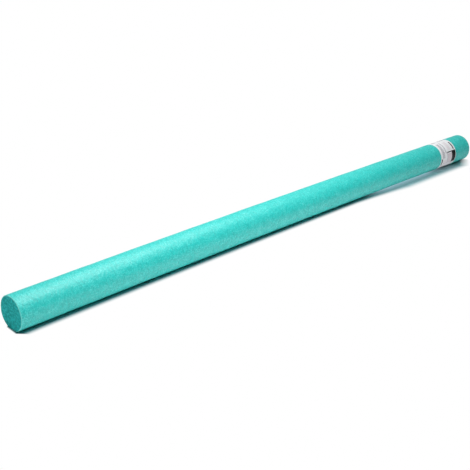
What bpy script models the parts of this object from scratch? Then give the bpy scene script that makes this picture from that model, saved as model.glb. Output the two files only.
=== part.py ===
"""Pool noodle: a solid round rod of foam, and a printed label strip wrapped round it near one end.

Metres, +Z up. The noodle lies along X on the plane Z = 0, with the label near its +X end.
The origin is under the middle of its bounding box.
"""
import math

import bmesh
import bpy
from mathutils import Matrix, Vector

# Foam rod
ROD_LENGTH = 1.200
ROD_DIAMETER = 0.060
ROD_BOW = 0.0047            # how far the middle bows sideways, towards +Y
REST_FLAT_DEPTH = 0.0015    # how much of the round the pressed underside has lost
CUT_RIM_RADIUS = 0.0012     # soft edge where each cut face meets the skin

# Label strip
LABEL_WIDTH = 0.057
LABEL_TO_FAR_END = 0.054
LABEL_THICKNESS = 0.0002    # film and its glue
LABEL_LAP = 0.012           # length of strip that lies on the strip's own start
LABEL_LAP_TURN = math.radians(240.0)    # where the lap starts, turned about X from straight up
LABEL_CLEARANCE = 0.0003    # between the strip and the shallow seat it presses into the foam

# Fineness of the mesh
ROUND_STEPS = 72
LENGTH_STEPS = 24
RIM_STEPS = 4
LAP_STEPS = 6
MERGE_DISTANCE = 0.00001

# Worked out from the sizes above
ROD_RADIUS = ROD_DIAMETER / 2
AXIS_HEIGHT = ROD_RADIUS - REST_FLAT_DEPTH
HALF_LENGTH = ROD_LENGTH / 2
LABEL_END = HALF_LENGTH - LABEL_TO_FAR_END
LABEL_START = LABEL_END - LABEL_WIDTH
LABEL_INNER_RADIUS = ROD_RADIUS - LABEL_THICKNESS
SEAT_RADIUS = LABEL_INNER_RADIUS - LABEL_CLEARANCE
FULL_TURN = math.tau
ROD_AXIS = Vector((1, 0, 0))
ROD_CENTRE = Vector((0, 0, 0))


def clear_scene():
    for old in list(bpy.data.objects):
        bpy.data.objects.remove(old, do_unlink=True)


def make_material(name, colour, roughness):
    material = bpy.data.materials.new(name)
    material.use_nodes = True
    surface = material.node_tree.nodes["Principled BSDF"]
    surface.inputs["Base Color"].default_value = colour
    surface.inputs["Roughness"].default_value = roughness
    surface.inputs["Metallic"].default_value = 0.0
    material.diffuse_color = colour
    return material


def finish_object(name, bm, material):
    """Lay the round body on the floor, close its mesh and make its object."""
    press_underside(bm)
    follow_centre_line(bm)
    bmesh.ops.recalc_face_normals(bm, faces=bm.faces)
    mesh = bpy.data.meshes.new(name)
    bm.to_mesh(mesh)
    bm.free()
    mesh.materials.append(material)
    mesh.shade_smooth()
    mesh.set_sharp_from_angle(angle=math.radians(30))
    piece = bpy.data.objects.new(name, mesh)
    bpy.context.scene.collection.objects.link(piece)
    return piece


def press_underside(bm):
    """Flatten the lowest part of every ring by the same depth, as a rod does where it lies."""
    for vert in bm.verts:
        ring_radius = math.hypot(vert.co.y, vert.co.z)
        if ring_radius > REST_FLAT_DEPTH:
            vert.co.z = max(vert.co.z, REST_FLAT_DEPTH - ring_radius)


def follow_centre_line(bm):
    """Raise the body onto the floor and bow it sideways, half the bow on each side of the origin."""
    for vert in bm.verts:
        along = vert.co.x / HALF_LENGTH
        vert.co.y += ROD_BOW * (1 - along * along) - ROD_BOW / 2
        vert.co.z += AXIS_HEIGHT


def spin_outline(bm, outline, angle, steps):
    """Turn connected outline points (x, radius) about the rod's axis and return the last copy."""
    points = [bm.verts.new((x, 0, radius)) for x, radius in outline]
    edges = [bm.edges.new(pair) for pair in zip(points, points[1:])]
    return turn(bm, points + edges, angle, steps)


def turn(bm, geometry, angle, steps):
    turned = bmesh.ops.spin(
        bm, geom=geometry, cent=ROD_CENTRE, axis=ROD_AXIS, angle=angle, steps=steps, use_merge=False)
    return turned["geom_last"]


def evenly(first, last, steps):
    return [first + (last - first) * step / steps for step in range(steps + 1)]


def rim_outline(face_x, inward):
    """The quarter round from a cut face to the skin; inward is +1 at the near end and -1 at the far end."""
    centre_x = face_x + inward * CUT_RIM_RADIUS
    centre_radius = ROD_RADIUS - CUT_RIM_RADIUS
    points = []
    for angle in evenly(0, math.pi / 2, RIM_STEPS):
        x = centre_x - inward * CUT_RIM_RADIUS * math.cos(angle)
        points.append((x, centre_radius + CUT_RIM_RADIUS * math.sin(angle)))
    return points


def rod_outline():
    """Half section of the rod, from the middle of the near face to the middle of the far face."""
    near_rim = rim_outline(-HALF_LENGTH, 1)
    far_rim = rim_outline(HALF_LENGTH, -1)
    seat_start = LABEL_START - LABEL_CLEARANCE
    seat_end = LABEL_END + LABEL_CLEARANCE
    skin = evenly(near_rim[-1][0], seat_start, LENGTH_STEPS)
    outline = [(-HALF_LENGTH, 0)] + near_rim
    outline += [(x, ROD_RADIUS) for x in skin[1:]]
    outline += [(seat_start, SEAT_RADIUS), (seat_end, SEAT_RADIUS), (seat_end, ROD_RADIUS)]
    outline += far_rim[::-1] + [(HALF_LENGTH, 0)]
    return outline


def make_rod():
    bm = bmesh.new()
    spin_outline(bm, rod_outline(), FULL_TURN, ROUND_STEPS)
    bmesh.ops.remove_doubles(bm, verts=bm.verts, dist=MERGE_DISTANCE)
    foam = make_material("teal_foam", (0.05, 0.58, 0.53, 1), 0.75)
    return finish_object("foam_noodle", bm, foam)


def make_label():
    """A band one film thick, with a second film over the arc where the strip's ends lap."""
    bm = bmesh.new()
    section = [
        (LABEL_START, LABEL_INNER_RADIUS), (LABEL_END, LABEL_INNER_RADIUS),
        (LABEL_END, ROD_RADIUS), (LABEL_START, ROD_RADIUS), (LABEL_START, LABEL_INNER_RADIUS)]
    lap_angle = LABEL_LAP / ROD_RADIUS
    lap_end = spin_outline(bm, section, lap_angle, LAP_STEPS)
    turn(bm, lap_end, FULL_TURN - lap_angle, ROUND_STEPS)
    bmesh.ops.remove_doubles(bm, verts=bm.verts, dist=MERGE_DISTANCE)
    bmesh.ops.recalc_face_normals(bm, faces=bm.faces)
    lap_faces = [face for face in bm.faces if is_outer(face) and turned_angle(face) < lap_angle]
    raised = bmesh.ops.extrude_face_region(bm, geom=lap_faces)["geom"]
    bmesh.ops.delete(bm, geom=lap_faces, context="FACES")
    for vert in (item for item in raised if isinstance(item, bmesh.types.BMVert)):
        outward = Vector((0, vert.co.y, vert.co.z)).normalized()
        vert.co += outward * LABEL_THICKNESS
    bmesh.ops.rotate(bm, verts=bm.verts, cent=ROD_CENTRE, matrix=Matrix.Rotation(LABEL_LAP_TURN, 3, "X"))
    film = make_material("white_label_film", (0.80, 0.82, 0.83, 1), 0.4)
    return finish_object("label_band", bm, film)


def is_outer(face):
    middle_radius = ROD_RADIUS - LABEL_THICKNESS / 2
    return all(math.hypot(vert.co.y, vert.co.z) > middle_radius for vert in face.verts)


def turned_angle(face):
    """How far round the axis a face lies from where the outline started, which is straight up."""
    middle = face.calc_center_median()
    return math.atan2(-middle.y, middle.z) % FULL_TURN


def main():
    clear_scene()
    make_rod()
    make_label()


main()
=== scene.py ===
"""Pool noodle: its foam, its label and a plain studio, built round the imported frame.

Metres, +Z up. The noodle lies along X on the plane Z = 0, with its label near the +X end.
"""

import math

import bmesh
import bpy
from bpy.props import FloatProperty, FloatVectorProperty, IntProperty, PointerProperty
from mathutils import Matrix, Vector, noise


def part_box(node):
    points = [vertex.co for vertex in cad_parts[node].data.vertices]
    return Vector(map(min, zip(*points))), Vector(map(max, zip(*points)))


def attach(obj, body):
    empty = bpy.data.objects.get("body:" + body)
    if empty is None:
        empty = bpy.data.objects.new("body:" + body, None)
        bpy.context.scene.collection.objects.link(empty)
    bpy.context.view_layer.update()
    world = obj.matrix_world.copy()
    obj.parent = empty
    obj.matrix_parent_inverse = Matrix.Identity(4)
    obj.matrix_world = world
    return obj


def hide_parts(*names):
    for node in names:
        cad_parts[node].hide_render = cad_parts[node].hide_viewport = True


bl_info = {
    "name": "Pool Noodle",
    "version": (1, 0, 0),
    "blender": (4, 5, 0),
    "location": "3D View > Sidebar > Pool Noodle",
    "description": "Makes a foam pool noodle, its label strip and a plain studio",
    "category": "Object",
}

MM = 0.001
FULL_TURN = math.tau
ROD_AXIS = Vector((1, 0, 0))
ORIGIN = Vector((0, 0, 0))
MERGE_DISTANCE = 0.01 * MM
UNROLL_MARGIN = 4 * MM                  # bare edge round the patches of the foam's UV map
SKIN, CUT, RIM = range(3)               # materials of the foam rod, in their order
FILM, BLACK, GREY, TINT = range(4)      # materials of the label strip, in their order
WHITE = (1, 1, 1, 1)

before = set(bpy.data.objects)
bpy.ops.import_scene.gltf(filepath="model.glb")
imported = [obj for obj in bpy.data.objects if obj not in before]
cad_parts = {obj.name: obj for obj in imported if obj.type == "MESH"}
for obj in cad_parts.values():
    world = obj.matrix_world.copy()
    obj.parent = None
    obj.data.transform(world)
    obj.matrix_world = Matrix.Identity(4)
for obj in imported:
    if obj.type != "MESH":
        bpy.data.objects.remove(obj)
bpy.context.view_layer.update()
foam_low, foam_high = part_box("foam_noodle")
band_low, band_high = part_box("label_band")
FOAM_SIZE = foam_high - foam_low
ROD_DIAMETER = 60 * MM
BACK_DIRECTION = (0.67, 0.74, 0.0)      # level, away from the camera
ROOM_EDGE = -0.3                        # cosine with that direction up to which the room is dark
BACKDROP_EDGE = 0.5                     # and from which the backdrop has its full strength


def linear(hex_colour):
    """Turn an sRGB hex colour such as #3fa8a0 into linear red, green and blue."""
    channels = [int(hex_colour[start:start + 2], 16) / 255 for start in (1, 3, 5)]
    return tuple(c / 12.92 if c <= 0.04045 else ((c + 0.055) / 1.055) ** 2.4 for c in channels)


def size(name, default, description):
    """A length or a place, in metres."""
    return FloatProperty(
        name=name, description=description, default=default, unit="LENGTH", precision=5)


def turn(name, degrees, description):
    """An angle, given in degrees."""
    return FloatProperty(
        name=name, description=description, default=math.radians(degrees), subtype="ANGLE")


def share(name, default, description):
    """A number from 0 to 1."""
    return FloatProperty(
        name=name, description=description, default=default, min=0, max=1, subtype="FACTOR")


def amount(name, default, description, unit="NONE"):
    """A number from 0 up, with its unit if it has one."""
    return FloatProperty(name=name, description=description, default=default, min=0, unit=unit)


def colour(name, hex_colour, description):
    """A colour, given in sRGB hex."""
    return FloatVectorProperty(
        name=name, description=description, default=linear(hex_colour), size=3, min=0, max=1,
        subtype="COLOR")


def count(name, default, description):
    """A number of mesh steps."""
    return IntProperty(name=name, description=description, default=default, min=3)


class FoamSettings(bpy.types.PropertyGroup):
    """Sizes and colours of the foam rod."""
    length: size("Length", FOAM_SIZE.x, "Length from cut face to cut face")
    diameter: size("Diameter", ROD_DIAMETER, "Diameter of the round rod")
    bow: size("Bow", FOAM_SIZE.y - ROD_DIAMETER, "How far the middle bows sideways")
    flat_depth: size(
        "Flat depth", ROD_DIAMETER - FOAM_SIZE.z, "How much the pressed underside has lost")
    rim_radius: size("Cut rim radius", 1.4 * MM, "Soft edge where a cut face meets the skin")
    rim_steps: count("Cut rim steps", 4, "Mesh steps round the soft edge")
    seat_depth: size("Label seat depth", 0.4 * MM, "How deep the label presses into the skin")
    seat_slope: size("Label seat slope", 1.6 * MM, "Length over which the skin dips to the label")
    station: size("Station spacing", 1.65 * MM, "Distance between rings of the mesh")
    around: count("Steps round", 112, "Mesh steps round the rod")
    bulge: size("Bulge", 1.2 * MM, "How far the pressed rod bulges at the back, close to the floor")
    cut_skew: turn("Cut skew", 3.2, "How far the near cut is turned to the front")
    cut_lean: turn("Cut lean", 2.2, "How far the near cut leans back from its foot")
    skew_length: size(
        "Skew length", 30 * MM, "Length of rod behind the near cut that its turn and lean draw in")
    face_rings: count("Face rings", 16, "Rings of mesh across a cut face")
    wave_length: size("Wave length", 34 * MM, "Spacing of the skin's slow swells")
    wave_height: size("Wave height", 0.3 * MM, "Height of the skin's slow swells")
    pebble_size: size("Pebble size", 5.5 * MM, "Spacing of the skin's pebbles")
    pebble_height: size("Pebble height", 0.07 * MM, "Height of the skin's pebbles")
    cut_size: size("Cut grain size", 4 * MM, "Spacing of the hollows on a cut face")
    cut_height: size("Cut grain height", 0.12 * MM, "Depth of the hollows on a cut face")
    cell_size: size("Cell size", 3.4 * MM, "Cells of the foam as they show in its skin")
    grain_size: size("Grain size", 3 * MM, "Spacing of the skin's fine uneven grain")
    speck_size: size("Speck size", 1.9 * MM, "Spacing of the skin's pale specks")
    patch_size: size("Patch size", 14 * MM, "Spacing of the patches with more specks")
    cut_cell_size: size("Cut cell size", 4 * MM, "Clumps of open cells on a cut face")
    blade_size: size("Blade mark size", 2.5 * MM, "Spacing of the blade's marks on a cut face")
    skin_colour: colour("Skin", "#10d5cd", "Colour of the skin")
    skin_deep_colour: colour("Skin, cell walls", "#0bc3bb", "Colour where cells meet")
    # Pale specks on the skin; on the cut rim this colour is part of the painted highlight.
    speck_and_rim_highlight_colour: colour(
        "Skin, stretched", "#5ee8e2", "Colour of the pale specks where the skin is stretched")
    # Both cut-foam colours are paler than the skin's: partly the open cells' own tone, partly painted
    # light for the dim cut faces.
    cut_foam_and_painted_light_colour: colour("Cut foam", "#3ae6e4", "Colour of the open cells on a cut face")
    cut_hollow_and_painted_light_colour: colour("Cut foam, hollows", "#1cb6b2", "Colour inside the open cells")
    # Painted highlight: a near-white teal for the bright line that light draws along the cut edge.
    painted_rim_highlight_colour: colour("Cut rim", "#8cfcf2", "Colour of the skin's cut edge")


class LabelSettings(bpy.types.PropertyGroup):
    """Sizes and colours of the label strip."""
    width: size("Width", band_high.x - band_low.x, "Width of the strip along the rod")
    start: size("Start", band_low.x, "Where the strip's near edge lies along the rod")
    thickness: size("Thickness", 0.12 * MM, "Thickness of the film")
    glue: size("Glue", 0.012 * MM, "Thickness of the glue under the film")
    lap: size("Lap", 12 * MM, "Length of strip that lies on its own start")
    lap_ramp: size("Lap ramp", 1.5 * MM, "Length over which the film climbs onto itself")
    lap_turn: turn("Lap turn", 240, "Where the strip starts, turned from straight up away from the front")
    crinkle_size: size("Crinkle size", 9 * MM, "Spacing of the film's crinkles")
    crinkle_height: size("Crinkle height", 0.05 * MM, "Height of the film's crinkles")
    grain_size: size("Grain size", 6 * MM, "Spacing of the film's faint shades and dents")
    margin: size("Margin", 1.9 * MM, "Bare film along both edges of the strip")
    bar: size("Bar", 13.5 * MM, "Width of the panel's solid black bar")
    frame_line: size("Frame line", 2.2 * MM, "Thickness of the panel's black frame")
    rule: size("Rule", 1.1 * MM, "Thickness of a printed rule")
    rule_pitch: size("Rule pitch", 2.1 * MM, "Distance from rule to rule")
    across: count("Steps across", 12, "Mesh steps across the strip")
    along: count("Steps along", 150, "Mesh steps along the strip")
    film_colour: colour("Film", "#fafcff", "Colour of the bare film")
    black_colour: colour("Black ink", "#0d0f10", "Colour of the solid black print")
    grey_colour: colour("Grey ink", "#a5a0ab", "Colour of the fine grey rules")
    tint_colour: colour("Tinted panel", "#e6dde3", "Colour of the tinted panel")


class StageSettings(bpy.types.PropertyGroup):
    """The floor, the lamp, the surroundings and the camera."""
    floor_size: size("Floor size", 14.0, "Side of the square floor")
    floor_colour: colour("Floor", "#fdfeff", "Colour of the floor")
    # Painted shadow: the camera alone sees this dark teal as the floor's colour beside the rod, deepening
    # the lamp's shadow.
    painted_shadow_colour: colour("Shadow", "#4f98a0", "Floor colour that the camera sees in the rod's shadow")
    shadow_start: size("Shadow start", 19.5 * MM, "Distance from the rod's line where the shadow fades")
    shadow_end: size("Shadow end", 33 * MM, "Distance from the rod's line where the shadow has faded")
    shadow_corner: size(
        "Near corners", 14 * MM, "Distance from the rod's line where the near corners are cut")
    shadow_past_near: size(
        "Shadow past near end", 2.5 * MM, "How far the shadow reaches past the near end")
    shadow_past_far: size("Shadow past far end", 12 * MM, "How far the shadow reaches past the far end")
    shadow_far_start: size("Far corners, start", 10 * MM, "Where the shadow's far corners start to fade")
    shadow_far_end: size("Far corners, end", 52 * MM, "Where the shadow's far corners have faded")
    shadow_far_slope: amount(
        "Far corners, slope", 1.5, "How strongly the far corners fade away from the rod's line")
    shadow_spread: share(
        "Shadow spread", 0.36, "How much wider the shadow is at the far end than in the middle")
    shadow_spread_start: size(
        "Shadow spread start", 0.2, "Place along the rod from which the shadow widens")
    shadow_spread_end: size(
        "Shadow spread end", 0.36, "Place along the rod where the shadow is at its widest")
    # These three fade the painted shadow colour along the rod, leaving less of it towards the far end.
    painted_shadow_fade_start: size("Tint start", 0.2, "Place along the rod from which the shadow's tint fades")
    painted_shadow_fade_end: size("Tint end", 0.36, "Place along the rod where the tint is at its weakest")
    painted_shadow_far_share: share("Far tint", 0.8, "Share of the shadow's tint that is left at the far end")
    # The light gap settings place a painted strip of pale light: a glowing patch of floor, seen by the
    # camera alone, over the shadow beside the last third of the rod.
    gap_place: size("Light gap", 0.38, "Middle of the stretch where some light passes under the rod")
    gap_full: size("Light gap, full", 0.06, "Distance from that middle up to which the gap is open")
    gap_end: size("Light gap, end", 0.15, "Distance from that middle where the gap has closed")
    gap_near: size("Gap light, near", 12 * MM, "Distance from the rod's line where its light fades")
    gap_far: size("Gap light, far", 27 * MM, "Distance from the rod's line where its light is weakest")
    painted_gap_light: share("Gap light", 0.6, "Share of the gap's colour that shows beside the rod")
    painted_gap_far_light: share("Gap far light", 0.1, "Share of the gap's colour that shows away from the rod")
    # Painted light: this colour glows from the floor itself, and no light passes under the rod.
    painted_gap_colour: colour(
        "Gap colour", "#bcecfb", "Colour of the light that passes under the rod and that the foam tints")
    lamp_height: size("Lamp height", 1.0, "Height of the lamp above the floor")
    lamp_along: size("Lamp along", -0.16, "Place of the lamp along the rod")
    lamp_aside: size("Lamp aside", -0.13, "Place of the lamp across the rod")
    lamp_length: size("Lamp length", 0.8, "Length of the lamp along the rod")
    lamp_width: size("Lamp width", 1.5, "Width of the lamp across the rod")
    lamp_turn: turn("Lamp turn", -42, "How far the lamp is turned about straight up")
    lamp_power: amount("Lamp power", 16, "Power of the lamp", unit="POWER")
    front_light: amount("Front light", 0.04, "Strength of the light from the dark room behind the camera")
    back_light: amount("Back light", 0.4, "Strength of the light from the white backdrop")
    camera_place: FloatVectorProperty(
        name="Camera place", description="Where the camera stands", default=(-1.1118, -1.0777, 0.6785),
        size=3, subtype="TRANSLATION", unit="LENGTH")
    camera_tilt: turn("Camera tilt", 65.63, "How far the camera is tilted up from straight down")
    camera_turn: turn("Camera turn", -42.38, "How far the camera is turned about straight up")
    camera_lens: amount("Camera lens", 64.86, "Focal length in millimetres", unit="CAMERA")
    camera_sensor: amount("Camera sensor", 36, "Width of the sensor in millimetres", unit="CAMERA")


def add(tree, kind, settings=None, links=None):
    """Add a node, set its properties and inputs, and link its inputs from sockets."""
    node = tree.nodes.new(kind)
    for name, value in (settings or {}).items():
        if isinstance(name, int) or name in node.inputs:
            node.inputs[name].default_value = value
        else:
            setattr(node, name, value)
    for name, socket in (links or {}).items():
        tree.links.new(socket, node.inputs[name])
    return node


def new_material(name):
    material = bpy.data.materials.new(name)
    material.use_nodes = True
    material.node_tree.nodes.clear()
    return material, material.node_tree


def rgba(rgb):
    return (*rgb, 1)


def evenly(first, last, steps):
    return [first + (last - first) * step / steps for step in range(steps + 1)]


def finish_piece(name, bm, materials, node):
    """Make the piece's object, put it on the frame's body and let it stand for its node."""
    mesh = bpy.data.meshes.new(name)
    bm.to_mesh(mesh)
    bm.free()
    for material in materials:
        mesh.materials.append(material)
    mesh.shade_smooth()
    piece = bpy.data.objects.new(name, mesh)
    bpy.context.scene.collection.objects.link(piece)
    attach(piece, "root")
    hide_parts(node)
    return piece


def swell(point, foam):
    """Slow swell of the skin, which the label follows as well."""
    return foam.wave_height * noise.noise(point / foam.wave_length)


def lay_down(bm, foam):
    """Turn and lean the near cut, press the underside flat, bow the rod and raise it onto the floor."""
    radius = foam.diameter / 2
    half_length = foam.length / 2
    for vert in bm.verts:
        ring_radius = math.hypot(vert.co.y, vert.co.z)
        near = max(1 - (vert.co.x + half_length) / foam.skew_length, 0)
        lean = (vert.co.z + radius) * math.tan(foam.cut_lean)
        vert.co.x += (lean - vert.co.y * math.tan(foam.cut_skew)) * near * near
        low_behind = 2 * max(vert.co.y, 0) * max(-vert.co.z, 0) / (radius * radius)     # 0 to 1
        vert.co.y += foam.bulge * low_behind
        if ring_radius > foam.flat_depth:
            vert.co.z = max(vert.co.z, foam.flat_depth - min(ring_radius, radius))
        along = vert.co.x / half_length
        vert.co.y += foam.bow * (1 - along * along) - foam.bow / 2
        vert.co.z += radius - foam.flat_depth


def rim_outline(face_x, inward, foam):
    """The quarter round from a cut face to the skin; inward is +1 at the near end, -1 at the far end."""
    centre_x = face_x + inward * foam.rim_radius
    centre_radius = foam.diameter / 2 - foam.rim_radius
    points = []
    for angle in evenly(0, math.pi / 2, foam.rim_steps):
        x = centre_x - inward * foam.rim_radius * math.cos(angle)
        points.append((x, centre_radius + foam.rim_radius * math.sin(angle)))
    return points


def foam_outline(foam, label):
    """Half section of the rod: near face, its rim, skin with the label's seat, far rim, far face."""
    radius = foam.diameter / 2
    half_length = foam.length / 2
    near_rim = rim_outline(-half_length, 1, foam)
    far_rim = rim_outline(half_length, -1, foam)[::-1]
    face_radii = evenly(0, near_rim[0][1], foam.face_rings)
    outline = [(-half_length, r) for r in face_radii[:-1]] + near_rim
    seat_start = label.start - foam.seat_slope / 2
    seat_end = label.start + label.width + foam.seat_slope / 2
    seat_radius = radius - foam.seat_depth
    stretches = [
        (near_rim[-1], (seat_start, radius)),
        ((seat_start + foam.seat_slope, seat_radius), (seat_end - foam.seat_slope, seat_radius)),
        ((seat_end, radius), far_rim[0])]
    for first, last in stretches:
        steps = round((last[0] - first[0]) / foam.station)
        xs = evenly(first[0], last[0], steps)
        inner = xs[1:] if first is near_rim[-1] else xs
        outline += [(x, first[1]) for x in inner]
    outline = outline[:-1] + far_rim
    outline += [(half_length, r) for r in face_radii[-2::-1]]
    return outline


def relieve_foam(bm, foam):
    """Move the skin in and out by its swells and pebbles, and the cut faces by their grain."""
    half_length = foam.length / 2
    rim_start = half_length - foam.rim_radius / 2
    for vert in bm.verts:
        place = vert.co.copy()
        if abs(place.x) < rim_start:
            outward = Vector((0, place.y, place.z)).normalized()
            pebble = foam.pebble_height * noise.noise(place / foam.pebble_size)
            vert.co += outward * (swell(place, foam) + pebble)
        else:
            grain = noise.noise(place / foam.cut_size) - 1
            vert.co.x += math.copysign(foam.cut_height / 2, place.x) * grain


def sort_foam_faces(bm, foam):
    """Give each face its material: the skin, the cut foam or the skin's cut edge."""
    face_x = foam.length / 2 - foam.cut_height
    rim_x = foam.length / 2 - foam.rim_radius
    face_radius = foam.diameter / 2 - foam.rim_radius
    for face in bm.faces:
        centre = face.calc_center_median()
        if abs(centre.x) > face_x and math.hypot(centre.y, centre.z) < face_radius:
            face.material_index = CUT
        elif abs(centre.x) > rim_x:
            face.material_index = RIM
        else:
            face.material_index = SKIN


def unroll_foam(bm, foam):
    """Lay the skin out flat in two rows, with the cut faces above them, for a baked texture."""
    uv = bm.loops.layers.uv.new("OFBake")
    radius = foam.diameter / 2
    half_length = foam.length / 2
    margin = UNROLL_MARGIN
    row_height = FULL_TURN * radius + margin
    sheet = half_length + 2 * margin
    for face in bm.faces:
        centre = face.calc_center_median()
        if face.material_index == CUT:
            shift = radius + margin if centre.x < 0 else 3 * radius + 2 * margin
            for loop in face.loops:
                u = shift + loop.vert.co.y
                v = 2 * row_height + radius + margin + loop.vert.co.z
                loop[uv].uv = (u / sheet, v / sheet)
            continue
        row = 0 if centre.x < 0 else 1
        middle = math.atan2(centre.y, centre.z)
        for loop in face.loops:
            turned = math.atan2(loop.vert.co.y, loop.vert.co.z)
            turned = middle + math.remainder(turned - middle, FULL_TURN)
            u = margin + loop.vert.co.x + (half_length if row == 0 else 0)
            v = margin + row * row_height + radius * (turned + math.pi)
            loop[uv].uv = (u / sheet, v / sheet)


def foam_skin_material(foam):
    """Extruded closed-cell polyethylene foam, which cools with a thin skin of its own.

    The skin gives the eye a satin sheen, broken up by fine pebbles and by pale specks where it is
    stretched. The real cells are 1 to 2 mm wide. They are too fine to show in the render, so they are
    drawn about twice as wide.
    """
    material, tree = new_material("polyethylene_foam_skin")
    coords = add(tree, "ShaderNodeTexCoord").outputs["Object"]
    uneven = add(
        tree, "ShaderNodeTexNoise", {"Scale": 1 / foam.grain_size, "Detail": 2.0}, {"Vector": coords})
    ringed = add(tree, "ShaderNodeMapping", {"Scale": (1.0, 0.55, 0.55)}, {"Vector": coords})
    cells = add(
        tree, "ShaderNodeTexVoronoi",
        {"feature": "SMOOTH_F1", "Scale": 1 / foam.cell_size, "Smoothness": 0.6},
        {"Vector": ringed.outputs["Vector"]})
    specks = add(
        tree, "ShaderNodeTexNoise", {"Scale": 1 / foam.speck_size, "Detail": 2.0, "Roughness": 0.6},
        {"Vector": coords})
    patches = add(
        tree, "ShaderNodeTexNoise", {"Scale": 1 / foam.patch_size, "Detail": 1.0}, {"Vector": coords})
    mottle = add(
        tree, "ShaderNodeMath", {"operation": "MULTIPLY_ADD", 1: 0.2},
        {0: patches.outputs["Fac"], 2: specks.outputs["Fac"]})
    cell_tone = add(
        tree, "ShaderNodeMapRange", {"From Min": 0.05, "From Max": 0.75},
        {"Value": cells.outputs["Distance"]})
    base = add(
        tree, "ShaderNodeMix",
        {"data_type": "RGBA", 6: rgba(foam.skin_colour), 7: rgba(foam.skin_deep_colour)},
        {0: cell_tone.outputs["Result"]})
    speck_tone = add(
        tree, "ShaderNodeMapRange", {"From Min": 0.57, "From Max": 0.82, "To Max": 0.95},
        {"Value": mottle.outputs["Value"]})
    toned = add(
        tree, "ShaderNodeMix", {"data_type": "RGBA", 7: rgba(foam.speck_and_rim_highlight_colour)},
        {0: speck_tone.outputs["Result"], 6: base.outputs[2]})
    rough = add(
        tree, "ShaderNodeMapRange", {"From Min": 0.3, "From Max": 0.7, "To Min": 0.41, "To Max": 0.53},
        {"Value": uneven.outputs["Fac"]})
    pebbles = add(
        tree, "ShaderNodeBump", {"Strength": 1.0, "Distance": 0.6 * MM, "invert": True},
        {"Height": cells.outputs["Distance"]})
    grain = add(
        tree, "ShaderNodeBump", {"Strength": 0.8, "Distance": 0.3 * MM},
        {"Height": uneven.outputs["Fac"], "Normal": pebbles.outputs["Normal"]})
    surface = add(
        tree, "ShaderNodeBsdfPrincipled", {"IOR": 1.5, "Specular IOR Level": 0.78},
        {"Base Color": toned.outputs[2], "Roughness": rough.outputs["Result"],
         "Normal": grain.outputs["Normal"]})
    add(tree, "ShaderNodeOutputMaterial", None, {"Surface": surface.outputs["BSDF"]})
    return material


def cut_foam_material(foam):
    """The same foam, sawn across: its open cells give a matt, darker face with the blade's fine lines.
    Its colours are paler than the skin's: partly the open cells' own tone, partly painted light that
    makes up for the little light the cut faces get.

    Its cells are drawn in clumps, because single ones are too fine to show in the render.
    """
    material, tree = new_material("polyethylene_foam_cut")
    coords = add(tree, "ShaderNodeTexCoord").outputs["Object"]
    cells = add(
        tree, "ShaderNodeTexVoronoi",
        {"feature": "SMOOTH_F1", "Scale": 1 / foam.cut_cell_size, "Smoothness": 0.5}, {"Vector": coords})
    streaked = add(
        tree, "ShaderNodeMapping", {"Rotation": (math.radians(20), 0, 0), "Scale": (1.0, 0.25, 1.0)},
        {"Vector": coords})
    blade = add(
        tree, "ShaderNodeTexNoise", {"Scale": 1 / foam.blade_size, "Detail": 3.0},
        {"Vector": streaked.outputs["Vector"]})
    depth = add(
        tree, "ShaderNodeMath", {"operation": "MULTIPLY"},
        {0: cells.outputs["Distance"], 1: blade.outputs["Fac"]})
    tone = add(
        tree, "ShaderNodeMapRange", {"From Min": 0.05, "From Max": 0.4},
        {"Value": depth.outputs["Value"]})
    # Partly painted light: these pale colours make up for the little light on the cut faces.
    base = add(
        tree, "ShaderNodeMix",
        {"data_type": "RGBA", 6: rgba(foam.cut_foam_and_painted_light_colour), 7: rgba(foam.cut_hollow_and_painted_light_colour)},
        {0: tone.outputs["Result"]})
    hollows = add(
        tree, "ShaderNodeBump", {"Strength": 0.8, "Distance": 0.25 * MM, "invert": True},
        {"Height": depth.outputs["Value"]})
    surface = add(
        tree, "ShaderNodeBsdfPrincipled", {"IOR": 1.25, "Roughness": 0.85},
        {"Base Color": base.outputs[2], "Normal": hollows.outputs["Normal"]})
    add(tree, "ShaderNodeOutputMaterial", None, {"Surface": surface.outputs["BSDF"]})
    return material


def cut_rim_painted_highlight_material(foam):
    """The skin's own sawn edge, of denser foam and slightly glossy; its pale colours are a painted
    highlight, the bright line that light draws along the rounded edge.
    """
    material, tree = new_material("polyethylene_foam_rim_painted_highlight")
    coords = add(tree, "ShaderNodeTexCoord").outputs["Object"]
    grain = add(
        tree, "ShaderNodeTexNoise", {"Scale": 1 / foam.grain_size, "Detail": 2.0}, {"Vector": coords})
    # Painted highlight: both pale colours stand in for the light caught by the rounded edge.
    base = add(
        tree, "ShaderNodeMix",
        {"data_type": "RGBA", 6: rgba(foam.speck_and_rim_highlight_colour), 7: rgba(foam.painted_rim_highlight_colour)},
        {0: grain.outputs["Fac"]})
    dents = add(
        tree, "ShaderNodeBump", {"Strength": 0.4, "Distance": 0.1 * MM}, {"Height": grain.outputs["Fac"]})
    surface = add(
        tree, "ShaderNodeBsdfPrincipled", {"IOR": 1.5, "Specular IOR Level": 0.3, "Roughness": 0.4},
        {"Base Color": base.outputs[2], "Normal": dents.outputs["Normal"]})
    add(tree, "ShaderNodeOutputMaterial", None, {"Surface": surface.outputs["BSDF"]})
    return material


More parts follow.
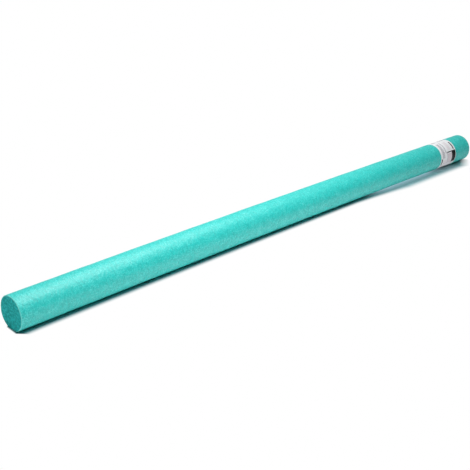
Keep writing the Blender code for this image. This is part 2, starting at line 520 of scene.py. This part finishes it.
class POOLNOODLE_OT_foam(bpy.types.Operator):
    """Turn the foam rod, give it its relief and lay it on the floor"""
    bl_idname = "pool_noodle.foam"
    bl_label = "Make Foam Rod"

    def execute(self, context):
        foam = context.scene.noodle_foam
        bm = bmesh.new()
        outline = foam_outline(foam, context.scene.noodle_label)
        points = [bm.verts.new((x, 0, radius)) for x, radius in outline]
        edges = [bm.edges.new(pair) for pair in zip(points, points[1:])]
        bmesh.ops.spin(
            bm, geom=points + edges, cent=ORIGIN, axis=ROD_AXIS, angle=FULL_TURN, steps=foam.around,
            use_merge=True)
        bmesh.ops.remove_doubles(bm, verts=bm.verts, dist=MERGE_DISTANCE)
        bmesh.ops.recalc_face_normals(bm, faces=bm.faces)
        sort_foam_faces(bm, foam)
        unroll_foam(bm, foam)
        relieve_foam(bm, foam)
        lay_down(bm, foam)
        materials = [foam_skin_material(foam), cut_foam_material(foam), cut_rim_painted_highlight_material(foam)]
        rod = finish_piece("foam_rod", bm, materials, "foam_noodle")
        return {"FINISHED"}


def rules(label, ink, near, far, low, high):
    """A block of even rules that run along the strip, as areas like those of print_areas."""
    steps = round((far - near) / label.rule_pitch)
    starts = [near + step * label.rule_pitch for step in range(steps)]
    return [(ink, start, start + label.rule, low, high) for start in starts]


def framed_panel(label, ink, near, far, low, high):
    """The four sides of a thin frame, as areas like those of print_areas."""
    line = label.rule
    return [
        (ink, near, far, low, low + line), (ink, near, far, high - line, high),
        (ink, near, near + line, low, high), (ink, far - line, far, low, high)]


def print_areas(label):
    """The printed areas as (ink, from, to across the strip, from, to along it), without any lettering.

    Across starts at the strip's near edge. Along starts at the front, level with the rod's axis, and
    grows over the top. A later area covers an earlier one. First come the panel with its solid bar and
    its frame, and two black marks, then the blocks of rules in front, and last what is on the back.
    """
    near = label.margin
    far = label.width - label.margin
    bar = far - label.bar
    line = label.frame_line
    panel_low, panel_high, panel_near = -14 * MM, 14.5 * MM, 24 * MM
    near_mark = (near + 1 * MM, near + 4.2 * MM, -15 * MM, 1 * MM)
    far_mark = (far - 6.6 * MM, far - 3.2 * MM, 17 * MM, 38 * MM)
    block_high = 44 * MM
    back_low, back_high = 52 * MM, 98 * MM
    areas = [
        (TINT, panel_near, bar, panel_low, panel_high - line - 2 * MM),
        (BLACK, bar, far, panel_low, panel_high),
        (BLACK, panel_near, far, panel_high - line, panel_high),
        (GREY, panel_near, panel_near + label.rule, panel_low, panel_high),
        (BLACK, *near_mark), (BLACK, *far_mark)]
    areas += rules(label, GREY, near + 5 * MM, panel_near - 9 * MM, 2 * MM, block_high - 2 * MM)
    areas += rules(label, GREY, panel_near - 5 * MM, panel_near, 12 * MM, block_high)
    areas += rules(label, TINT, panel_near + 6 * MM, bar - 2 * MM, 18 * MM, block_high)
    areas += rules(label, TINT, near + 7 * MM, panel_near - 2 * MM, panel_low, -3 * MM)
    areas += rules(label, GREY, near + 5 * MM, panel_near, back_low, back_high)
    areas += rules(label, GREY, panel_near + 6 * MM, far - 3 * MM, back_low, back_high - 14 * MM)
    areas += framed_panel(label, GREY, near + 4 * MM, far - 4 * MM, -66 * MM, -26 * MM)
    areas += rules(label, TINT, near + 9 * MM, far - 9 * MM, -60 * MM, -32 * MM)
    return areas


def film_material(name, label, ink, gloss):
    """Cast plastic label film, printed: white and satin where it is bare, duller under the inks."""
    material, tree = new_material(name)
    coords = add(tree, "ShaderNodeTexCoord").outputs["Object"]
    grain = add(
        tree, "ShaderNodeTexNoise", {"Scale": 1 / label.grain_size, "Detail": 3.0}, {"Vector": coords})
    shade = add(
        tree, "ShaderNodeMapRange", {"From Min": 0.3, "From Max": 0.7, "To Min": 0.97, "To Max": 1.0},
        {"Value": grain.outputs["Fac"]})
    tinted = add(
        tree, "ShaderNodeVectorMath", {"operation": "SCALE", 0: ink}, {"Scale": shade.outputs["Result"]})
    dents = add(
        tree, "ShaderNodeBump", {"Strength": 0.3, "Distance": 0.1 * MM}, {"Height": grain.outputs["Fac"]})
    surface = add(
        tree, "ShaderNodeBsdfPrincipled", {"IOR": 1.5, "Specular IOR Level": gloss, "Roughness": 0.5},
        {"Base Color": tinted.outputs["Vector"], "Normal": dents.outputs["Normal"]})
    add(tree, "ShaderNodeOutputMaterial", None, {"Surface": surface.outputs["BSDF"]})
    return material


def cut_at(bm, place, direction):
    """Cut the flat strip along a straight line through place, square to direction."""
    geometry = bm.verts[:] + bm.edges[:] + bm.faces[:]
    bmesh.ops.bisect_plane(bm, geom=geometry, dist=MERGE_DISTANCE, plane_co=place, plane_no=direction)


def print_strip(bm, label):
    """Cut the strip along the edges of its printed areas and give each area its ink."""
    areas = print_areas(label)
    for across in sorted({edge for area in areas for edge in area[1:3]}):
        cut_at(bm, Vector((across, 0, 0)), Vector((1, 0, 0)))
    for along in sorted({edge for area in areas for edge in area[3:5]}):
        cut_at(bm, Vector((0, along, 0)), Vector((0, 1, 0)))
    for face in bm.faces:
        centre = face.calc_center_median()
        face.material_index = FILM
        for ink, near, far, low, high in areas:
            if near < centre.x < far and low < centre.y < high:
                face.material_index = ink


def roll_strip(bm, foam, label):
    """Wrap the flat strip round the rod, its last stretch lying on its start, with fine crinkles."""
    rod_radius = foam.diameter / 2
    seat_radius = rod_radius - foam.seat_depth
    start = lap_start(foam, label)
    for vert in bm.verts:
        across, along, through = vert.co
        past_lap = along - start - FULL_TURN * rod_radius
        climb = min(max(past_lap / label.lap_ramp + 1, 0), 1)
        climb = climb * climb * (3 - 2 * climb)
        radius = seat_radius + label.glue + through + climb * (label.thickness + label.glue)
        angle = along / rod_radius
        place = Vector((label.start + across, -math.cos(angle) * radius, math.sin(angle) * radius))
        crinkle = label.crinkle_height * abs(noise.noise(place / label.crinkle_size))
        outward = Vector((0, place.y, place.z)).normalized()
        skin_point = outward * rod_radius + ROD_AXIS * place.x
        vert.co = place + outward * (swell(skin_point, foam) + crinkle)


def lap_start(foam, label):
    """Where the strip starts: a length round the rod from the front, a quarter turn below the top."""
    return (FULL_TURN / 4 - label.lap_turn) * foam.diameter / 2


class POOLNOODLE_OT_label(bpy.types.Operator):
    """Cut and print the label strip and wrap it round the rod"""
    bl_idname = "pool_noodle.label"
    bl_label = "Make Label Strip"

    def execute(self, context):
        foam = context.scene.noodle_foam
        label = context.scene.noodle_label
        length = FULL_TURN * foam.diameter / 2 + label.lap
        bm = bmesh.new()
        bmesh.ops.create_grid(bm, x_segments=label.across, y_segments=label.along, size=0.5)
        bmesh.ops.scale(bm, verts=bm.verts, vec=(label.width, length, 1))
        bmesh.ops.translate(
            bm, verts=bm.verts, vec=(label.width / 2, lap_start(foam, label) + length / 2, 0))
        print_strip(bm, label)
        bmesh.ops.solidify(bm, geom=bm.faces[:], thickness=-label.thickness)
        roll_strip(bm, foam, label)
        lay_down(bm, foam)
        bmesh.ops.recalc_face_normals(bm, faces=bm.faces)
        materials = [
            film_material("label_film_bare", label, label.film_colour, gloss=1.0),
            film_material("label_film_black_ink", label, label.black_colour, gloss=0.2),
            film_material("label_film_grey_ink", label, label.grey_colour, gloss=0.5),
            film_material("label_film_tinted", label, label.tint_colour, gloss=0.8)]
        finish_piece("label_strip", bm, materials, "label_band")
        return {"FINISHED"}


def rod_line_offset(tree, place, foam):
    """How far a floor point lies from the line under the bowed rod, on either side of it."""
    half_length = foam.length / 2
    along = add(
        tree, "ShaderNodeMath", {"operation": "MULTIPLY", 1: 1 / half_length}, {0: place.outputs["X"]})
    squared = add(
        tree, "ShaderNodeMath", {"operation": "MULTIPLY"},
        {0: along.outputs["Value"], 1: along.outputs["Value"]})
    aside = add(
        tree, "ShaderNodeMath", {"operation": "MULTIPLY_ADD", 1: foam.bow, 2: -foam.bow / 2},
        {0: squared.outputs["Value"]})
    shifted = add(
        tree, "ShaderNodeMath", {"operation": "ADD"},
        {0: place.outputs["Y"], 1: aside.outputs["Value"]})
    offset = add(tree, "ShaderNodeMath", {"operation": "ABSOLUTE"}, {0: shifted.outputs["Value"]})
    return offset.outputs["Value"]


def past_shadow(tree, place, offset, foam, stage):
    """0 where the rod's shadow shows in full, 1 past its edges and past both ends of the rod."""
    half_length = foam.length / 2
    narrowing = add(
        tree, "ShaderNodeMapRange",
        {"From Min": stage.shadow_spread_start, "From Max": stage.shadow_spread_end, "To Min": 1.0,
         "To Max": 1 - stage.shadow_spread},
        {"Value": place.outputs["X"]})
    distance = add(
        tree, "ShaderNodeMath", {"operation": "MULTIPLY"}, {0: offset, 1: narrowing.outputs["Result"]})
    past_edge = add(
        tree, "ShaderNodeMapRange",
        {"interpolation_type": "SMOOTHSTEP", "From Min": stage.shadow_start,
         "From Max": stage.shadow_end},
        {"Value": distance.outputs["Value"]})
    widest = 2 * stage.shadow_end
    corner = add(
        tree, "ShaderNodeMapRange",
        {"From Min": stage.shadow_corner, "From Max": widest, "To Max": widest - stage.shadow_corner},
        {"Value": offset})
    near_reach = add(
        tree, "ShaderNodeMath", {"operation": "SUBTRACT"},
        {0: corner.outputs["Result"], 1: place.outputs["X"]})
    past_near = add(
        tree, "ShaderNodeMapRange",
        {"From Min": half_length, "From Max": half_length + stage.shadow_past_near},
        {"Value": near_reach.outputs["Value"]})
    far_reach = add(
        tree, "ShaderNodeMath", {"operation": "MULTIPLY_ADD", 1: stage.shadow_far_slope},
        {0: offset, 2: place.outputs["X"]})
    past_far_corners = add(
        tree, "ShaderNodeMapRange",
        {"From Min": half_length + stage.shadow_far_start,
         "From Max": half_length + stage.shadow_far_end},
        {"Value": far_reach.outputs["Value"]})
    past_far = add(
        tree, "ShaderNodeMapRange",
        {"From Min": half_length, "From Max": half_length + stage.shadow_past_far},
        {"Value": place.outputs["X"]})
    past = past_edge.outputs["Result"]
    for part in (past_near, past_far_corners, past_far):
        past = add(
            tree, "ShaderNodeMath", {"operation": "MAXIMUM"},
            {0: past, 1: part.outputs["Result"]}).outputs["Value"]
    return past


def gap_light_share(tree, place, offset, stage):
    """How much of the painted gap light shows: most of it beside the rod, in the gap's middle."""
    from_middle = add(
        tree, "ShaderNodeMath", {"operation": "SUBTRACT", 1: stage.gap_place}, {0: place.outputs["X"]})
    distance = add(tree, "ShaderNodeMath", {"operation": "ABSOLUTE"}, {0: from_middle.outputs["Value"]})
    strongest = add(
        tree, "ShaderNodeMapRange",
        {"From Min": stage.gap_near, "From Max": stage.gap_far, "To Min": stage.painted_gap_light,
         "To Max": stage.painted_gap_far_light},
        {"Value": offset})
    light = add(
        tree, "ShaderNodeMapRange",
        {"interpolation_type": "SMOOTHSTEP", "From Min": stage.gap_full, "From Max": stage.gap_end,
         "To Max": 0.0},
        {"Value": distance.outputs["Value"], "To Min": strongest.outputs["Result"]})
    return light.outputs["Result"]


def floor_material(foam, stage):
    """Matt white paint. The camera sees it pure white, except close to the rod, where its shadow shows.

    That shadow is the lamp's own, deepened by a painted shadow: a dark teal floor colour that the camera
    alone sees. Under the last third of the rod, a painted strip of pale light, an emission that the
    camera alone sees, is laid over the shadow.
    """
    material, tree = new_material("matt_white_floor")
    coords = add(tree, "ShaderNodeTexCoord").outputs["Object"]
    place = add(tree, "ShaderNodeSeparateXYZ", None, {"Vector": coords})
    rays = add(tree, "ShaderNodeLightPath")
    offset = rod_line_offset(tree, place, foam)
    # Share of the painted shadow colour along the rod.
    tinted = add(
        tree, "ShaderNodeMapRange",
        {"From Min": stage.painted_shadow_fade_start, "From Max": stage.painted_shadow_fade_end, "To Min": 1.0,
         "To Max": stage.painted_shadow_far_share},
        {"Value": place.outputs["X"]})
    parts = (
        tinted.outputs["Result"], gap_light_share(tree, place, offset, stage),
        past_shadow(tree, place, offset, foam, stage))
    seen_painted_shadow, seen_painted_gap, seen_white = [
        add(
            tree, "ShaderNodeMath", {"operation": "MULTIPLY"},
            {0: part, 1: rays.outputs["Is Camera Ray"]}) for part in parts]
    # Painted shadow: for camera rays the paint turns towards the dark shadow colour beside the rod.
    tone = add(
        tree, "ShaderNodeMix",
        {"data_type": "RGBA", 6: rgba(stage.floor_colour), 7: rgba(stage.painted_shadow_colour)},
        {0: seen_painted_shadow.outputs["Value"]})
    paint = add(
        tree, "ShaderNodeBsdfPrincipled", {"Roughness": 0.9}, {"Base Color": tone.outputs[2]})
    # Painted light: the floor glows here in place of light passing under the rod.
    painted_gap_light = add(tree, "ShaderNodeEmission", {"Color": rgba(stage.painted_gap_colour), "Strength": 1.0})
    shaded = add(
        tree, "ShaderNodeMixShader", None,
        {0: seen_painted_gap.outputs["Value"], 1: paint.outputs["BSDF"], 2: painted_gap_light.outputs["Emission"]})
    white = add(tree, "ShaderNodeEmission", {"Color": WHITE, "Strength": 1.0})
    surface = add(
        tree, "ShaderNodeMixShader", None,
        {0: seen_white.outputs["Value"], 1: shaded.outputs["Shader"], 2: white.outputs["Emission"]})
    add(tree, "ShaderNodeOutputMaterial", None, {"Surface": surface.outputs["Shader"]})
    return material


def light_surroundings(stage):
    """White where the camera looks past the floor. It lights the rod as a backdrop and a dark room do."""
    world = bpy.data.worlds.new("studio")
    world.use_nodes = True
    tree = world.node_tree
    tree.nodes.clear()
    rays = add(tree, "ShaderNodeLightPath")
    direction = add(tree, "ShaderNodeTexCoord").outputs["Generated"]
    towards_back = add(
        tree, "ShaderNodeVectorMath", {"operation": "DOT_PRODUCT", 1: BACK_DIRECTION}, {0: direction})
    strength = add(
        tree, "ShaderNodeMapRange",
        {"From Min": ROOM_EDGE, "From Max": BACKDROP_EDGE, "To Min": stage.front_light,
         "To Max": stage.back_light},
        {"Value": towards_back.outputs["Value"]})
    dim = add(
        tree, "ShaderNodeBackground", {"Color": WHITE}, {"Strength": strength.outputs["Result"]})
    white = add(tree, "ShaderNodeBackground", {"Color": WHITE, "Strength": 1.0})
    shown = add(
        tree, "ShaderNodeMixShader", None,
        {0: rays.outputs["Is Camera Ray"], 1: dim.outputs["Background"], 2: white.outputs["Background"]})
    add(tree, "ShaderNodeOutputWorld", None, {"Surface": shown.outputs["Shader"]})
    bpy.context.scene.world = world


def hang_lamp(stage):
    """One large soft box overhead, facing straight down, a little towards the camera."""
    data = bpy.data.lights.new("soft_box", "AREA")
    data.shape = "RECTANGLE"
    data.size = stage.lamp_length
    data.size_y = stage.lamp_width
    data.energy = stage.lamp_power
    lamp = bpy.data.objects.new("soft_box", data)
    lamp.location = (stage.lamp_along, stage.lamp_aside, stage.lamp_height)
    lamp.rotation_euler = (0, 0, stage.lamp_turn)
    bpy.context.scene.collection.objects.link(lamp)


def place_camera(stage):
    """Stand the camera where the photograph was taken from: in front of the plain end, looking down."""
    data = bpy.data.cameras.new("photo_camera")
    data.lens = stage.camera_lens
    data.sensor_width = stage.camera_sensor
    camera = bpy.data.objects.new("photo_camera", data)
    camera.location = stage.camera_place
    camera.rotation_euler = (stage.camera_tilt, 0, stage.camera_turn)
    bpy.context.scene.collection.objects.link(camera)
    bpy.context.scene.camera = camera


class POOLNOODLE_OT_stage(bpy.types.Operator):
    """Make the floor, the lamp, the surroundings and the camera"""
    bl_idname = "pool_noodle.stage"
    bl_label = "Make Studio"

    def execute(self, context):
        stage = context.scene.noodle_stage
        bm = bmesh.new()
        bmesh.ops.create_grid(bm, x_segments=1, y_segments=1, size=stage.floor_size / 2)
        mesh = bpy.data.meshes.new("floor")
        bm.to_mesh(mesh)
        bm.free()
        mesh.materials.append(floor_material(context.scene.noodle_foam, stage))
        floor = bpy.data.objects.new("floor", mesh)
        context.scene.collection.objects.link(floor)
        light_surroundings(stage)
        hang_lamp(stage)
        place_camera(stage)
        context.scene.view_settings.view_transform = "Standard"
        return {"FINISHED"}


class POOLNOODLE_PT_panel(bpy.types.Panel):
    """Sidebar panel with the operators"""
    bl_idname = "POOLNOODLE_PT_panel"
    bl_label = "Pool Noodle"
    bl_space_type = "VIEW_3D"
    bl_region_type = "UI"
    bl_category = "Pool Noodle"

    def draw(self, context):
        for operator in OPERATORS:
            self.layout.operator(operator.bl_idname)


OPERATORS = (POOLNOODLE_OT_foam, POOLNOODLE_OT_label, POOLNOODLE_OT_stage)
CLASSES = (FoamSettings, LabelSettings, StageSettings, *OPERATORS, POOLNOODLE_PT_panel)


def register():
    for item in CLASSES:
        bpy.utils.register_class(item)
    bpy.types.Scene.noodle_foam = PointerProperty(type=FoamSettings)
    bpy.types.Scene.noodle_label = PointerProperty(type=LabelSettings)
    bpy.types.Scene.noodle_stage = PointerProperty(type=StageSettings)


def unregister():
    del bpy.types.Scene.noodle_stage
    del bpy.types.Scene.noodle_label
    del bpy.types.Scene.noodle_foam
    for item in reversed(CLASSES):
        bpy.utils.unregister_class(item)


def main():
    register()
    bpy.ops.pool_noodle.foam()
    bpy.ops.pool_noodle.label()
    bpy.ops.pool_noodle.stage()


if __name__ == "__main__":
    main()
